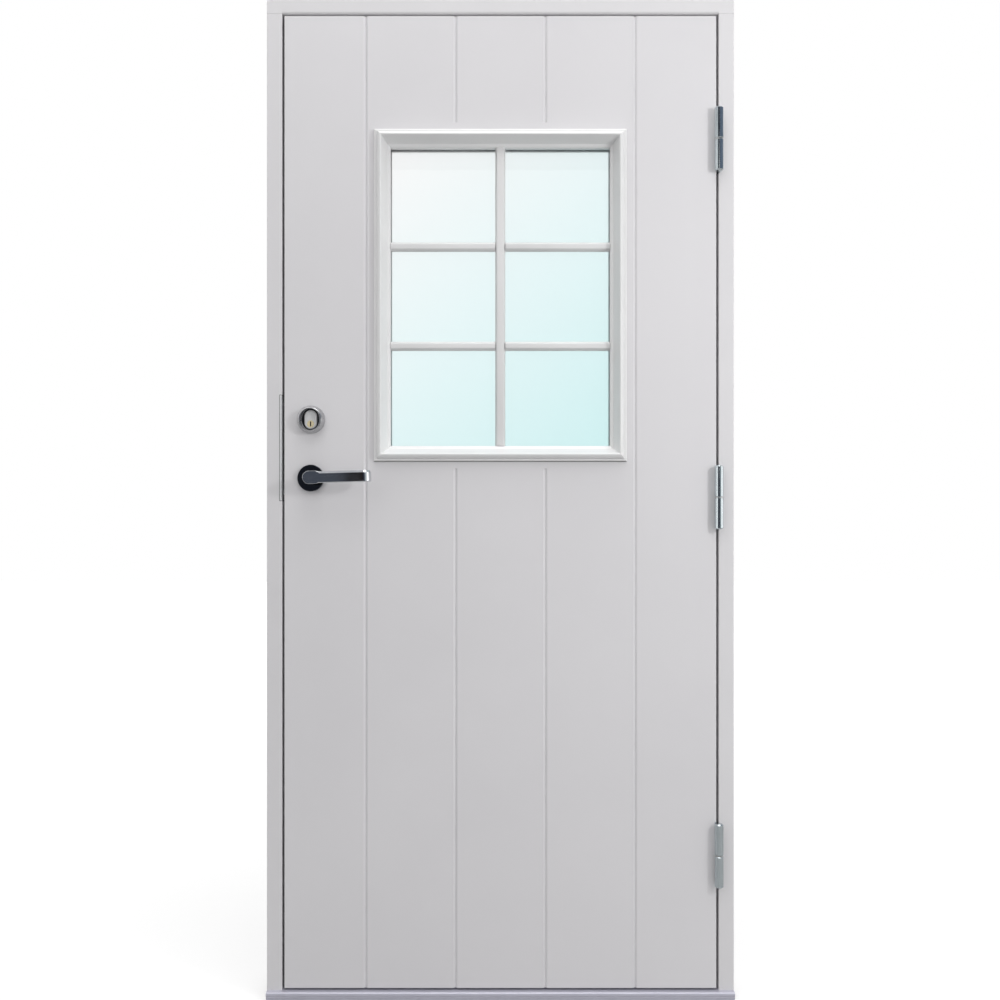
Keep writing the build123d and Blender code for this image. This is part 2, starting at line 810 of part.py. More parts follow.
with BuildPart() as thumb_turn:
    with BuildSketch(facing(leaf_back)):
        with Locations((handle_x, cylinder_z)):
            Circle(turn_neck_radius)
    extrude(amount=-(rose_height + turn_neck_height))
    with BuildSketch(facing(leaf_back + rose_height + turn_neck_height / 2)):
        with Locations((handle_x, cylinder_z)):
            SlotOverall(turn_length, turn_width, rotation=90)
    extrude(amount=-turn_height)
    chamfer(outer_face(thumb_turn, 1).edges(), turn_bevel)
finish(thumb_turn.part, "thumb_turn")
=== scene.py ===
import math

import bpy
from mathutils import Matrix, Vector


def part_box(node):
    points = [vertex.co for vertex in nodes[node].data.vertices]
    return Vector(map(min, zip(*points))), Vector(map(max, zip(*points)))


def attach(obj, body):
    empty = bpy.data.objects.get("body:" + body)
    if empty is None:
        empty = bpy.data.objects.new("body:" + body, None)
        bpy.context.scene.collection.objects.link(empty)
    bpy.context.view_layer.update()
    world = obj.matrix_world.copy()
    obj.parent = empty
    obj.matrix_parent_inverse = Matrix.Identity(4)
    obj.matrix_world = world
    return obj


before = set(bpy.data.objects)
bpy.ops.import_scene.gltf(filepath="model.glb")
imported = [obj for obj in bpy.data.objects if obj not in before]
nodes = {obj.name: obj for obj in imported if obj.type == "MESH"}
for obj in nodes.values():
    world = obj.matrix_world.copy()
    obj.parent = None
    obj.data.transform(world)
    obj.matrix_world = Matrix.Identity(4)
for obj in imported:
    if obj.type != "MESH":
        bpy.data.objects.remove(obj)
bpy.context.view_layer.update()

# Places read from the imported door, and the gap between the leaf's edge and the rebate, in metres
glass_low, glass_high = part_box("outer_glass_pane")
door_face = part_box("outer_skin")[0].y
door_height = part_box("frame_head")[1].z
leaf_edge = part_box("hinge_stile")[1].x
leaf_gap = 0.005
rebate_edge = leaf_edge + leaf_gap

# Window bars, in metres
sight_width = 0.467
sight_height = 0.635
sight_middle_x = (glass_low.x + glass_high.x) / 2
sight_middle_z = (glass_low.z + glass_high.z) / 2
upright_width = 0.0215
upright_flat = 0.014
row_width = 0.0195
row_flat = 0.010
row_raise = 0.0013
bar_foot = 0.004
bar_rise = 0.007
bar_edge = 0.0006
bar_edge_steps = 2

# Plate screws: the head and its crossed slot in millimetres, the turn from one screw to the next in degrees
screw_radius = 4.2
screw_depth = 2.4
screw_sides = 32
screw_rim = 1.3
screw_dome = 0.35
slot_width = 1.0
slot_length = 4.6
slot_floor = 0.75
slot_top = 3
slot_turn = 37
millimetre = 0.001

# Places of the plate screws, in metres; those in a hinge plate are set back from the door's face and up from its foot
screw_sink = 0.0007
hinge_screw_places = ((0.011, 0.013), (0.022, 0.033), (0.011, 0.053))
strike_screw_spacing = 0.190
faceplate_screw_spacing = 0.208

# How squarely a face has to face an axis to be picked, and the angle from which an edge is shaded sharp
facing = 0.9
sharp_angle = math.radians(30)

# Painted dark lines in the finishes, in metres: painted shade in the seam round the strike plate and a painted shadow
# under the outer window moulding.
# Each fades out between two shares of its width.
seam_shade_width = 0.001
moulding_shadow_width = 0.0012
line_fade = (0.9, 1.1)

# Keyway of the plug, painted dark as the shade in its slot, in metres, and the shares of it between which it fades out
keyway_half_width = 0.00135
keyway_half_height = 0.00505
keyway_fade = (0.97, 1.03)

# Mouth of the cylinder ring, inside which shade is painted, in metres
mouth_half_width = 0.0195
mouth_half_height = 0.02275

# Glass, and how the outer pane's tint and painted light are scaled, turned and moved to run from corner to corner
glass_bending = 1.45
glass_shine = 0.2
light_fade_scale = 1.2806
light_fade_turn = math.radians(-51.34)
light_fade_shift = 1.990

# Range that most of a noise texture lies in
noise_low = 0.3
noise_high = 0.7

# Camera, in metres apart from the sensor's millimetres
view_width = 2.1155
view_middle_x = -0.0008
view_crop = 0.001
view_top = door_height - view_crop
camera_distance = 2.2
camera_x = -0.026
camera_z = 1.044
sensor_width = 36

# Studio: the floor's glow grows from its near level to its far level between two distances in metres
ambient_level = 0.58
floor_size = 24
floor_tone = 0.48
floor_roughness = 0.8
floor_glow_near = 0.57
floor_glow_far = 0.76
glow_near_distance = 0.6
glow_far_distance = 5.0

# Each lamp is a name, place, aim, width, height and power
lamps = (
    ("overhead_softbox", (0.0, -1.6, 4.6), (0.0, -0.1, 1.0), 3.2, 2.2, 42),
    ("right_softbox", (2.4, -2.2, 1.5), (0.1, 0.0, 1.1), 1.4, 2.4, 12),
    ("right_lamp", (1.55, -1.45, 1.70), (0.2, 0.0, 1.1), 0.16, 0.20, 10.2),
    ("left_lamp", (-1.6, -2.4, 2.6), (-0.2, 0.0, 1.0), 1.0, 1.0, 5),
    ("top_lamp", (0.0, -0.40, 4.0), (0.0, -0.32, 0.0), 1.6, 0.4, 13),
    ("back_softbox", (0.0, 3.0, 3.2), (0.0, 0.1, 1.0), 2.4, 1.6, 16),
)
lamp_mirrored = "overhead_softbox"
lamp_behind_glass = "back_softbox"

# Each card is a name, a low corner, a high corner and a tone
dusk = (0.030, 0.034, 0.050)
slate = (0.16, 0.20, 0.27)
cards = (
    ("navy_card", (-3.2, -3.62, 0.05), (-0.80, -3.6, 4.6), (0.080, 0.090, 0.112)),
    ("black_card", (-0.80, -3.62, 0.05), (-0.60, -3.6, 4.6), (0.022, 0.018, 0.018)),
    ("shade_card", (0.68, -3.62, 0.05), (1.20, -3.6, 4.6), dusk),
    ("upper_card", (-0.60, -3.62, 2.92), (0.68, -3.6, 4.6), dusk),
    ("lower_card", (-0.60, -3.62, 0.05), (0.68, -3.6, 1.34), dusk),
    ("right_high_card", (1.20, -3.62, 1.90), (3.6, -3.6, 4.6), slate),
    ("right_low_card", (1.20, -3.62, 0.05), (3.6, -3.6, 1.90), (0.45, 0.50, 0.52)),
    ("right_side_card", (3.60, -3.6, 1.90), (3.62, 1.2, 4.6), slate),
    ("left_strip", (-2.32, -1.5, 0.70), (-2.30, -0.9, 1.30), (2.4, 2.4, 2.4)),
    ("right_strip", (2.80, -1.6, 0.75), (2.82, -0.4, 1.50), (2.2, 2.2, 2.2)),
    ("top_card", (-0.7, -1.0, 3.48), (0.8, 0.3, 3.50), (3.0, 3.0, 3.0)),
    ("lever_shade", (-0.62, -0.6, 2.20), (-0.27, 0.0, 2.22), (0.58, 0.58, 0.60)),
)


def deselect():
    """Deselect everything, so that the next operator acts on the new piece alone."""
    bpy.ops.object.select_all(action="DESELECT")


def select_faces(piece, wanted):
    """In edit mode, select just the faces whose normal passes the test."""
    bpy.ops.mesh.select_mode(type="FACE")
    bpy.ops.mesh.select_all(action="DESELECT")
    bpy.ops.object.mode_set(mode="OBJECT")
    for face in piece.data.polygons:
        face.select = wanted(face.normal)
    bpy.ops.object.mode_set(mode="EDIT")


def settle(piece, name):
    """Write the place into the mesh and name the piece."""
    bpy.ops.object.transform_apply(location=True, rotation=True, scale=True)
    piece.name = name
    piece.data.name = name


def paint(piece, material):
    """Give a piece one material."""
    piece.data.materials.clear()
    piece.data.materials.append(material)


def block(name, low, high):
    """Box from corner to corner, ready to be shaped in edit mode."""
    deselect()
    middle = (Vector(low) + Vector(high)) / 2
    size = Vector(high) - Vector(low)
    bpy.ops.mesh.primitive_cube_add(size=1, location=middle)
    piece = bpy.context.object
    piece.scale = size
    bpy.ops.object.transform_apply(location=True, rotation=True, scale=True)
    piece.name = name
    return piece


def new_material(name):
    """Material with a principled shader; returns it with its nodes, links and shader."""
    material = bpy.data.materials.new(name)
    material.use_nodes = True
    tree = material.node_tree
    shader = tree.nodes["Principled BSDF"]
    return material, tree.nodes, tree.links, shader


def object_place(n, links, stretch=(1, 1, 1), turn=(0, 0, 0), shift=(0, 0, 0)):
    """Object coordinates, which are the door's own, stretched, turned and moved where that is asked for."""
    coordinates = n.new("ShaderNodeTexCoord")
    mapping = n.new("ShaderNodeMapping")
    mapping.inputs["Scale"].default_value = stretch
    mapping.inputs["Rotation"].default_value = turn
    mapping.inputs["Location"].default_value = shift
    links.new(coordinates.outputs["Object"], mapping.inputs["Vector"])
    return mapping.outputs["Vector"]


def noise(n, links, place, scale, detail=3, roughness=0.5):
    """Noise at so many cells a metre."""
    texture = n.new("ShaderNodeTexNoise")
    texture.inputs["Scale"].default_value = scale
    texture.inputs["Detail"].default_value = detail
    texture.inputs["Roughness"].default_value = roughness
    links.new(place, texture.inputs["Vector"])
    return texture.outputs["Fac"]


def ramp(n, links, source, stops):
    """Colour ramp over a value; stops are (place, colour) pairs."""
    node = n.new("ShaderNodeValToRGB")
    elements = node.color_ramp.elements
    while len(elements) < len(stops):
        elements.new(0.5)
    for element, (place, colour) in zip(elements, stops):
        element.position = place
        element.color = (*colour, 1)
    links.new(source, node.inputs["Fac"])
    return node.outputs["Color"]


def two_tones(n, links, source, dark, light):
    """Colour that goes from dark to light with a noise."""
    return ramp(n, links, source, ((noise_low, dark), (noise_high, light)))


def spread(n, links, source, low, high, start=0.0, end=1.0):
    """Map a value that runs from start to end on to a range."""
    node = n.new("ShaderNodeMapRange")
    node.inputs["From Min"].default_value = start
    node.inputs["From Max"].default_value = end
    node.inputs["To Min"].default_value = low
    node.inputs["To Max"].default_value = high
    links.new(source, node.inputs["Value"])
    return node.outputs["Result"]


def roughen(n, links, shader, source, low, high):
    """Let the shader's roughness go from low to high with a noise."""
    links.new(spread(n, links, source, low, high, noise_low, noise_high), shader.inputs["Roughness"])


def bump(n, links, shader, height, strength, distance):
    """Bump from a height into the shader's normal."""
    node = n.new("ShaderNodeBump")
    node.inputs["Strength"].default_value = strength
    node.inputs["Distance"].default_value = distance
    links.new(height, node.inputs["Height"])
    links.new(node.outputs["Normal"], shader.inputs["Normal"])


def darkened(n, links, mask, dark, colour):
    """Colour where the mask is one, and a dark tone where it is nought."""
    blend = n.new("ShaderNodeMixRGB")
    blend.inputs["Color1"].default_value = (*dark, 1)
    links.new(mask, blend.inputs["Fac"])
    links.new(colour, blend.inputs["Color2"])
    return blend.outputs["Color"]


def math_step(n, links, operation, first, second):
    """One sum on two values."""
    node = n.new("ShaderNodeMath")
    node.operation = operation
    links.new(first, node.inputs[0])
    links.new(second, node.inputs[1])
    return node.outputs["Value"]


def vector_step(n, links, operation, place):
    """One sum on a place; returns its node."""
    node = n.new("ShaderNodeVectorMath")
    node.operation = operation
    links.new(place, node.inputs[0])
    return node


def axes(n, links, place):
    """The X, Y and Z of a place."""
    node = n.new("ShaderNodeSeparateXYZ")
    links.new(place, node.inputs["Vector"])
    return node.outputs


def line_mask(n, links, measure, edge, width, inward=1):
    """Nought on a line along the inside of an edge, and one past it."""
    start, end = (edge + share * inward * width for share in line_fade)
    return spread(n, links, measure, 0, 1, start, end)


def leaf_paint():
    """Sprayed satin white: faint cloudiness and a fine orange peel."""
    material, n, links, shader = new_material("leaf_white_paint")
    place = object_place(n, links)
    cloud = noise(n, links, place, scale=3.5, detail=4)
    colour = two_tones(n, links, cloud, dark=(0.707, 0.696, 0.714), light=(0.732, 0.721, 0.738))
    links.new(colour, shader.inputs["Base Color"])
    roughen(n, links, shader, noise(n, links, place, scale=40, detail=2), low=0.36, high=0.44)
    bump(n, links, shader, noise(n, links, place, scale=900, detail=2), strength=0.05, distance=0.0005)
    return material


def frame_paint():
    """Brushed white on timber: faint upright strokes over a slow cloudiness."""
    material, n, links, shader = new_material("frame_white_paint")
    strokes = noise(n, links, object_place(n, links, stretch=(1, 1, 0.03)), scale=420, detail=4)
    cloud = noise(n, links, object_place(n, links), scale=5)
    colour = two_tones(n, links, cloud, dark=(0.707, 0.697, 0.712), light=(0.732, 0.722, 0.736))
    links.new(colour, shader.inputs["Base Color"])
    roughen(n, links, shader, strokes, low=0.34, high=0.46)
    bump(n, links, shader, strokes, strength=0.08, distance=0.0005)
    return material


def moulding_paint(name, dark, light, foot=None):
    """Smooth white lacquer on the window moulding and bars, with a painted shadow line along the foot where one is
    given.
    """
    material, n, links, shader = new_material(name)
    place = object_place(n, links)
    colour = two_tones(n, links, noise(n, links, place, scale=9), dark, light)
    if foot is not None:
        # Painted shadow under the moulding's lower edge
        mask = line_mask(n, links, axes(n, links, place)["Z"], foot, moulding_shadow_width)
        colour = darkened(n, links, mask, (0.10, 0.097, 0.088), colour)
    links.new(colour, shader.inputs["Base Color"])
    roughen(n, links, shader, noise(n, links, place, scale=60, detail=2), low=0.30, high=0.33)
    shader.inputs["Specular IOR Level"].default_value = 0.75
    bump(n, links, shader, noise(n, links, place, scale=700, detail=2), strength=0.012, distance=0.0003)
    return material


def oiled_timber():
    """Oiled brown hardwood with long grain along the threshold."""
    material, n, links, shader = new_material("oiled_threshold_timber")
    grain = noise(n, links, object_place(n, links, stretch=(0.05, 1, 1)), scale=240, detail=6, roughness=0.62)
    pores = noise(n, links, object_place(n, links, stretch=(0.02, 1, 1)), scale=900, detail=2)
    browns = ((0.3, (0.115, 0.055, 0.028)), (0.55, (0.215, 0.112, 0.058)), (0.75, (0.285, 0.160, 0.088)))
    links.new(ramp(n, links, grain, browns), shader.inputs["Base Color"])
    roughen(n, links, shader, pores, low=0.38, high=0.60)
    bump(n, links, shader, pores, strength=0.15, distance=0.0006)
    return material


def brushed_metal(name, dark, light, stretch, scale, rough, metallic=1.0):
    """Metal with brush lines along one axis and a little uneven shine."""
    material, n, links, shader = new_material(name)
    lines = noise(n, links, object_place(n, links, stretch), scale, detail=4)
    links.new(two_tones(n, links, lines, dark, light), shader.inputs["Base Color"])
    roughen(n, links, shader, lines, *rough)
    shader.inputs["Metallic"].default_value = metallic
    bump(n, links, shader, lines, strength=0.04, distance=0.0003)
    return material


def polished_chrome(name, dark, light):
    """Mirror-bright plating with faint smears from hands."""
    material, n, links, shader = new_material(name)
    smears = noise(n, links, object_place(n, links), scale=55, detail=4)
    links.new(two_tones(n, links, smears, dark, light), shader.inputs["Base Color"])
    roughen(n, links, shader, smears, low=0.05, high=0.11)
    shader.inputs["Metallic"].default_value = 1
    return material


def seam_shade_mask(n, links, low, high):
    """Nought where shade is painted in the seam, within its width of a plate's outer and end edges, and one on the
    rest of it.
    """
    measures = axes(n, links, object_place(n, links))
    inside = line_mask(n, links, measures["X"], low.x, seam_shade_width)
    for edge, inward in ((low.z, 1), (high.z, -1)):
        end = line_mask(n, links, measures["Z"], edge, seam_shade_width, inward)
        inside = math_step(n, links, "MINIMUM", inside, end)
    return inside


def plated_steel(name, shaded_seam_node=None):
    """Pale zinc plating with cloudy crystals; a plate let into timber gets painted shade in the seam round it."""
    material, n, links, shader = new_material(name)
    crystals = noise(n, links, object_place(n, links), scale=160, detail=5, roughness=0.6)
    colour = two_tones(n, links, crystals, dark=(0.68, 0.69, 0.70), light=(0.77, 0.78, 0.79))
    if shaded_seam_node:
        # Near-black painted shade in the seam round the plate
        colour = darkened(n, links, seam_shade_mask(n, links, *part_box(shaded_seam_node)), (0.02, 0.02, 0.02), colour)
    links.new(colour, shader.inputs["Base Color"])
    roughen(n, links, shader, crystals, low=0.42, high=0.56)
    shader.inputs["Metallic"].default_value = 0.3
    bump(n, links, shader, crystals, strength=0.05, distance=0.0003)
    return material


def keyway_shade_mask(n, links):
    """Nought inside the upright keyway of the plug at rest, where its shade is painted, and one round it."""
    low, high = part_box("key_plug")
    offset = vector_step(n, links, "SUBTRACT", object_place(n, links))
    offset.inputs[1].default_value = (low + high) / 2
    distance = vector_step(n, links, "ABSOLUTE", offset.outputs["Vector"])
    measures = axes(n, links, distance.outputs["Vector"])
    sides = []
    for axis, half in (("X", keyway_half_width), ("Z", keyway_half_height)):
        start, end = (share * half for share in keyway_fade)
        sides.append(spread(n, links, measures[axis], 0, 1, start, end))
    return math_step(n, links, "MAXIMUM", *sides)


def plug_brass():
    """Pale brass of the key plug, worn on its face, with painted shade in its keyway."""
    material, n, links, shader = new_material("key_plug_brass")
    wear = noise(n, links, object_place(n, links), scale=800, detail=5)
    colour = two_tones(n, links, wear, dark=(0.88, 0.75, 0.44), light=(0.97, 0.87, 0.62))
    # Near-black painted shade in the keyway
    links.new(darkened(n, links, keyway_shade_mask(n, links), (0.020, 0.014, 0.008), colour), shader.inputs["Base Color"])
    roughen(n, links, shader, wear, low=0.24, high=0.40)
    shader.inputs["Metallic"].default_value = 0.25
    return material


def ring_steel():
    """Satin steel of the cylinder ring, with painted shade inside its mouth."""
    material, n, links, shader = new_material("ring_satin_steel")
    low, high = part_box("cylinder_ring")
    centre = (low + high) / 2
    stretch = (1 / mouth_half_width, 0, 1 / mouth_half_height)
    shift = (-centre.x * stretch[0], 0, -centre.z * stretch[2])
    reach = vector_step(n, links, "LENGTH", object_place(n, links, stretch, shift=shift))
    # Near-black painted shade inside the mouth, satin steel round it
    tones = ((0.0, (0.03, 0.03, 0.035)), (0.97, (0.05, 0.05, 0.055)), (1.0, (0.52, 0.52, 0.53)))
    links.new(ramp(n, links, reach.outputs["Value"], tones), shader.inputs["Base Color"])
    lines = noise(n, links, object_place(n, links, stretch=(1, 0.1, 1)), scale=700)
    roughen(n, links, shader, lines, low=0.24, high=0.34)
    shader.inputs["Metallic"].default_value = 1
    bump(n, links, shader, lines, strength=0.03, distance=0.0003)
    return material


def seal_rubber():
    """Matt near-black rubber of the weather seal."""
    material, n, links, shader = new_material("weather_seal_rubber")
    grain = noise(n, links, object_place(n, links), scale=600)
    colour = two_tones(n, links, grain, dark=(0.030, 0.030, 0.032), light=(0.050, 0.050, 0.053))
    links.new(colour, shader.inputs["Base Color"])
    roughen(n, links, shader, grain, low=0.60, high=0.75)
    bump(n, links, shader, grain, strength=0.1, distance=0.0004)
    return material


def core_foam():
    """Pale yellow cut foam inside the leaf."""
    material, n, links, shader = new_material("leaf_core_foam")
    cells = noise(n, links, object_place(n, links), scale=700)
    colour = two_tones(n, links, cells, dark=(0.62, 0.54, 0.32), light=(0.74, 0.66, 0.44))
    links.new(colour, shader.inputs["Base Color"])
    roughen(n, links, shader, cells, low=0.85, high=0.95)
    bump(n, links, shader, cells, strength=0.4, distance=0.001)
    return material


def let_through(shader):
    """Make a shader glass."""
    shader.inputs["Transmission Weight"].default_value = 1
    shader.inputs["IOR"].default_value = glass_bending
    shader.inputs["Specular IOR Level"].default_value = glass_shine


def pane_with_painted_light():
    """Outer pane with painted light: clear at its upper left corner and pale blue-green at its lower right."""
    material, n, links, shader = new_material("outer_tinted_glass")
    slope = n.new("ShaderNodeTexGradient")
    place = object_place(n, links, (light_fade_scale, light_fade_scale, light_fade_scale), (0, light_fade_turn, 0), (light_fade_shift, 0, 0))
    links.new(place, slope.inputs["Vector"])
    # Painted light fading from white at the upper left into the pane's pale blue-green tint
    tint_and_light_fade = ((0.0, (1, 1, 1)), (0.5, (0.835, 0.968, 0.976)), (1.0, (0.660, 0.915, 0.920)))
    links.new(ramp(n, links, slope.outputs["Fac"], tint_and_light_fade), shader.inputs["Base Color"])
    let_through(shader)
    haze = noise(n, links, object_place(n, links), scale=30, detail=2)
    roughen(n, links, shader, haze, low=0.0, high=0.03)
    return material


def frosted_glass():
    """Inner pane, etched so that it passes light but no view."""
    material, n, links, shader = new_material("inner_frosted_glass")
    etching = noise(n, links, object_place(n, links), scale=1400)
    colour = two_tones(n, links, etching, dark=(0.985, 0.99, 0.99), light=(1, 1, 1))
    links.new(colour, shader.inputs["Base Color"])
    let_through(shader)
    roughen(n, links, shader, etching, low=0.34, high=0.42)
    bump(n, links, shader, etching, strength=0.1, distance=0.0002)
    return material


def window_bar(name, low, high, flat_share):
    """Glazing bar on the outer pane: a square foot with bevelled sides up to a narrower flat."""
    bar = block(name, (low[0], glass_low.y - bar_foot, low[1]), (high[0], glass_low.y, high[1]))
    bpy.ops.object.mode_set(mode="EDIT")
    select_faces(bar, lambda normal: normal.y < -facing)
    bpy.ops.mesh.extrude_region_move(TRANSFORM_OT_translate={"value": (0, -bar_rise, 0)})
    bpy.ops.transform.resize(value=(flat_share[0], 1, flat_share[1]))
    bpy.ops.mesh.select_all(action="SELECT")
    bpy.ops.mesh.normals_make_consistent(inside=False)
    bpy.ops.object.mode_set(mode="OBJECT")
    settle(bar, name)
    edges = bar.modifiers.new("eased", "BEVEL")
    edges.width = bar_edge
    edges.segments = bar_edge_steps
    edges.limit_method = "ANGLE"
    bpy.ops.object.modifier_apply(modifier="eased")
    bpy.ops.object.shade_smooth_by_angle(angle=sharp_angle)
    return bar


def window_bars(material):
    """One upright bar from top to bottom and two rows of short bars butted against it."""
    low_z = sight_middle_z - sight_height / 2
    high_z = sight_middle_z + sight_height / 2
    upright_left = sight_middle_x - upright_width / 2
    upright_right = sight_middle_x + upright_width / 2
    bars = [window_bar("window_bar_upright", (upright_left, low_z), (upright_right, high_z),
                       (upright_flat / upright_width, 1))]
    for row, share in (("upper", 2 / 3), ("lower", 1 / 3)):
        height = low_z + sight_height * share + row_raise
        foot = height - row_width / 2
        top = height + row_width / 2
        for side, left, right in (("left", sight_middle_x - sight_width / 2, upright_left),
                                  ("right", upright_right, sight_middle_x + sight_width / 2)):
            bars.append(window_bar(f"window_bar_{row}_{side}", (left, foot), (right, top),
                                   (1, row_flat / row_width)))
    for bar in bars:
        paint(bar, material)
        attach(bar, "leaf")


def cross_screw():
    """Low domed screw head with a crossed slot, drawn in millimetres about its own axis and then brought to scale."""
    deselect()
    bpy.ops.mesh.primitive_cylinder_add(vertices=screw_sides, radius=screw_radius, depth=screw_depth)
    head = bpy.context.object
    bpy.ops.object.mode_set(mode="EDIT")
    select_faces(head, lambda normal: normal.z > facing)
    bpy.ops.mesh.inset(thickness=screw_rim)
    bpy.ops.transform.translate(value=(0, 0, screw_dome))
    bpy.ops.object.mode_set(mode="OBJECT")
    for size_x, size_y in ((slot_width, slot_length), (slot_length, slot_width)):
        slot = block("screw_slot", (-size_x / 2, -size_y / 2, slot_floor), (size_x / 2, size_y / 2, slot_top))
        deselect()
        head.select_set(True)
        bpy.context.view_layer.objects.active = head
        cut = head.modifiers.new("slot", "BOOLEAN")
        cut.object = slot
        cut.operation = "DIFFERENCE"
        bpy.ops.object.modifier_apply(modifier="slot")
        bpy.data.objects.remove(slot)
    head.scale = (millimetre, millimetre, millimetre)
    bpy.ops.object.transform_apply(location=True, rotation=True, scale=True)
    bpy.ops.object.shade_smooth_by_angle(angle=sharp_angle)
    return head


def plate_screws(material):
    """Screws in the hinge plates, the strike plate and the lock faceplate; each is a copy of the one model."""
    places = []
    for hinge in ("upper", "middle", "lower"):
        for half, face_x, side in (("frame", rebate_edge, -1), ("leaf", leaf_edge, 1)):
            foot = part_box(f"hinge_{half}_half_{hinge}")[0].z
            for number, (setback, height) in enumerate(hinge_screw_places, 1):
                places.append((f"hinge_{half}_screw_{hinge}_{number}", side, half,
                               (face_x, door_face + setback, foot + height)))
    for node, side, body, spacing in (("strike_plate", 1, "frame", strike_screw_spacing),
                                      ("lock_faceplate", -1, "leaf", faceplate_screw_spacing)):
        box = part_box(node)
        middle = (box[0] + box[1]) / 2
        face_x = box[1].x if side > 0 else box[0].x
        for name, shift in (("low", -spacing / 2), ("high", spacing / 2)):
            places.append((f"{node}_screw_{name}", side, body, (face_x, middle.y, middle.z + shift)))
    model = cross_screw()
    for number, (name, side, body, place) in enumerate(places):
        deselect()
        screw = model.copy()
        screw.data = model.data.copy()
        bpy.context.scene.collection.objects.link(screw)
        screw.select_set(True)
        bpy.context.view_layer.objects.active = screw
        screw.location = Vector(place) - Vector((side * screw_sink, 0, 0))
        screw.rotation_euler = (math.radians(slot_turn * number), math.radians(90 * side), 0)
        settle(screw, name)
        paint(screw, material)
        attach(screw, body)
    bpy.data.objects.remove(model)


def dress_nodes():
    """Give every CAD piece its finish; returns the finishes of the window bars and the plate screws."""
    leaf_white = leaf_paint()
    frame_white = frame_paint()
    lacquer = ((0.810, 0.808, 0.810), (0.830, 0.828, 0.828))
    moulding_white = moulding_paint("moulding_white_lacquer", *lacquer)
    # The bottom outer moulding carries a painted shadow along its foot
    moulding_white_painted_shadow = moulding_paint("moulding_lacquer_painted_shadow", *lacquer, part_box("outer_trim_bottom")[0].z)
    bar_white = moulding_paint("window_bar_lacquer", dark=(0.745, 0.743, 0.746), light=(0.765, 0.763, 0.765))
    chrome = polished_chrome("lever_bright_chrome", dark=(0.62, 0.63, 0.66), light=(0.70, 0.71, 0.73))
    # Chrome of the roses, darkened to a painted dark reflection
    chrome_painted_dark = polished_chrome("rose_chrome_painted_dark", dark=(0.075, 0.078, 0.092), light=(0.105, 0.108, 0.122))
    plating = plated_steel("plate_zinc_plating")
    # The strike plate's plating carries painted shade in the seam round it
    strike_plating_seam_shade = plated_steel("strike_zinc_plating_seam_shade", "strike_plate")
    zinc = brushed_metal("hinge_zinc", dark=(0.48, 0.53, 0.55), light=(0.58, 0.63, 0.65), stretch=(1, 1, 0.08),
                         scale=500, rough=(0.10, 0.18))
    satin = brushed_metal("lock_satin_steel", dark=(0.50, 0.50, 0.50), light=(0.60, 0.60, 0.59), stretch=(1, 1, 0.06),
                          scale=700, rough=(0.26, 0.38))
    aluminium = brushed_metal("threshold_aluminium", dark=(0.56, 0.555, 0.64), light=(0.64, 0.635, 0.72),
                              stretch=(0.03, 1, 1), scale=900, rough=(0.28, 0.38), metallic=0.35)
    spacer = brushed_metal("spacer_pale_aluminium", dark=(0.74, 0.74, 0.75), light=(0.80, 0.80, 0.81),
                           stretch=(0.05, 1, 0.05), scale=500, rough=(0.45, 0.55), metallic=0.15)
    cylinder_steel = brushed_metal("cylinder_nickel", dark=(0.80, 0.80, 0.81), light=(0.90, 0.90, 0.90),
                                   stretch=(1, 1, 0.2), scale=600, rough=(0.34, 0.44), metallic=0.3)
    timber = oiled_timber()
    finishes = {
        "outer_skin": leaf_white, "inner_skin": leaf_white, "lock_stile": leaf_white, "hinge_stile": leaf_white,
        "top_rail": leaf_white, "bottom_rail": leaf_white, "insulation_core": core_foam(),
        "frame_head": frame_white, "lock_jamb": frame_white, "hinge_jamb": frame_white,
        "threshold_base": timber, "threshold_nosing": aluminium, "weather_seal": seal_rubber(),
        "outer_glass_pane": pane_with_painted_light(), "inner_glass_pane": frosted_glass(),
        "glass_spacer": spacer, "hinge_washers": satin, "strike_plate": strike_plating_seam_shade, "lock_faceplate": plating,
        "lock_bolts": satin, "lock_cylinder": cylinder_steel, "cylinder_ring": ring_steel(), "handle_spindle": satin,
        "outer_handle_rose": chrome_painted_dark, "inner_handle_rose": chrome_painted_dark, "thumb_turn_rose": chrome_painted_dark,
        "thumb_turn": chrome, "outer_lever": chrome, "inner_lever": chrome, "key_plug": plug_brass(),
    }
    for name in nodes:
        if "_trim_" in name:
            finishes[name] = moulding_white_painted_shadow if name == "outer_trim_bottom" else moulding_white
        elif name.startswith("hinge_") and "half" in name:
            finishes[name] = zinc
        paint(nodes[name], finishes[name])
    return bar_white, plating


def shown_share(n, links, *kinds):
    """One for camera rays and the given kinds of ray, which show a surface, and nought for the other kinds."""
    rays = n.new("ShaderNodeLightPath")
    shown = rays.outputs["Is Camera Ray"]
    for kind in kinds:
        shown = math_step(n, links, "MAXIMUM", shown, rays.outputs[kind])
    return shown


def studio_floor():
    """Pale floor that looks white but keeps the door's shadow."""
    deselect()
    bpy.ops.mesh.primitive_plane_add(size=floor_size)
    floor = bpy.context.object
    floor.name = "studio_floor"
    material, n, links, shader = new_material("studio_pale_floor")
    shader.inputs["Base Color"].default_value = (floor_tone, floor_tone, floor_tone, 1)
    shader.inputs["Roughness"].default_value = floor_roughness
    distance = vector_step(n, links, "LENGTH", object_place(n, links))
    white = spread(n, links, distance.outputs["Value"], floor_glow_near, floor_glow_far,
                   glow_near_distance, glow_far_distance)
    glow = n.new("ShaderNodeEmission")
    shown_glow = math_step(n, links, "MULTIPLY", white, shown_share(n, links, "Is Transmission Ray"))
    links.new(shown_glow, glow.inputs["Strength"])
    both = n.new("ShaderNodeAddShader")
    links.new(shader.outputs["BSDF"], both.inputs[0])
    links.new(glow.outputs["Emission"], both.inputs[1])
    links.new(both.outputs["Shader"], n["Material Output"].inputs["Surface"])
    paint(floor, material)


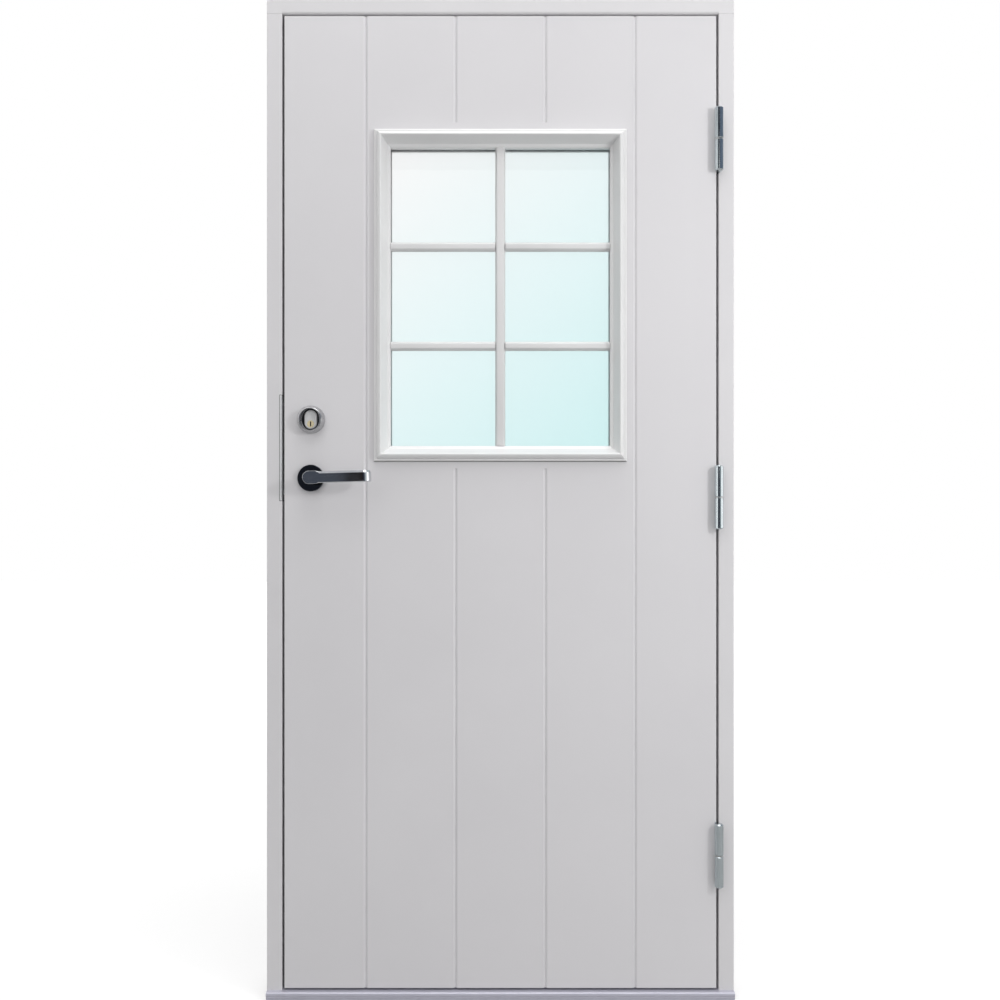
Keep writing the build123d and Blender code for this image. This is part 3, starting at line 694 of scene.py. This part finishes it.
def studio_surroundings():
    """White all round where it shows, at a lower level where it lights the door."""
    world = bpy.data.worlds.new("studio_white")
    bpy.context.scene.world = world
    world.use_nodes = True
    n = world.node_tree.nodes
    links = world.node_tree.links
    background = n["Background"]
    background.inputs["Color"].default_value = (1, 1, 1, 1)
    shown = shown_share(n, links, "Is Glossy Ray", "Is Transmission Ray")
    links.new(spread(n, links, shown, ambient_level, 1), background.inputs["Strength"])


def studio_lamps():
    """Area lamps, each turned to the place it lights; one shows in bright metal and one not through the glass."""
    for name, place, aim, width, height, power in lamps:
        lamp = bpy.data.lights.new(name, "AREA")
        lamp.shape = "RECTANGLE"
        lamp.size = width
        lamp.size_y = height
        lamp.energy = power
        holder = bpy.data.objects.new(name, lamp)
        bpy.context.scene.collection.objects.link(holder)
        holder.location = place
        holder.visible_glossy = name == lamp_mirrored
        holder.visible_transmission = name != lamp_behind_glass
        holder.rotation_euler = (Vector(aim) - Vector(place)).to_track_quat("-Z", "Y").to_euler()


def studio_cards():
    """Dark and bright cards round the door that only reflections see, as bright metal is lit in a studio."""
    for name, low, high, tone in cards:
        card = block(name, low, high)
        material, _, _, shader = new_material(name)
        shader.inputs["Base Color"].default_value = (0, 0, 0, 1)
        shader.inputs["Specular IOR Level"].default_value = 0
        shader.inputs["Emission Color"].default_value = (*tone, 1)
        shader.inputs["Emission Strength"].default_value = 1
        paint(card, material)
        card.visible_camera = False
        card.visible_diffuse = False
        card.visible_transmission = False
        card.visible_shadow = False


def camera():
    """Camera square to the door, with the small shift that frames it as in the photograph."""
    lens = bpy.data.cameras.new("door_camera")
    eye = bpy.data.objects.new("door_camera", lens)
    bpy.context.scene.collection.objects.link(eye)
    eye.location = (camera_x, door_face - camera_distance, camera_z)
    eye.rotation_euler = (math.radians(90), 0, 0)
    lens.sensor_width = sensor_width
    lens.lens = camera_distance * sensor_width / view_width
    lens.shift_x = (view_middle_x - camera_x) / view_width
    lens.shift_y = (view_top - view_width / 2 - camera_z) / view_width
    bpy.context.scene.camera = eye


bar_white, plating = dress_nodes()
window_bars(bar_white)
plate_screws(plating)
studio_floor()
studio_surroundings()
studio_lamps()
studio_cards()
camera()

bpy.context.scene.view_settings.view_transform = "Standard"
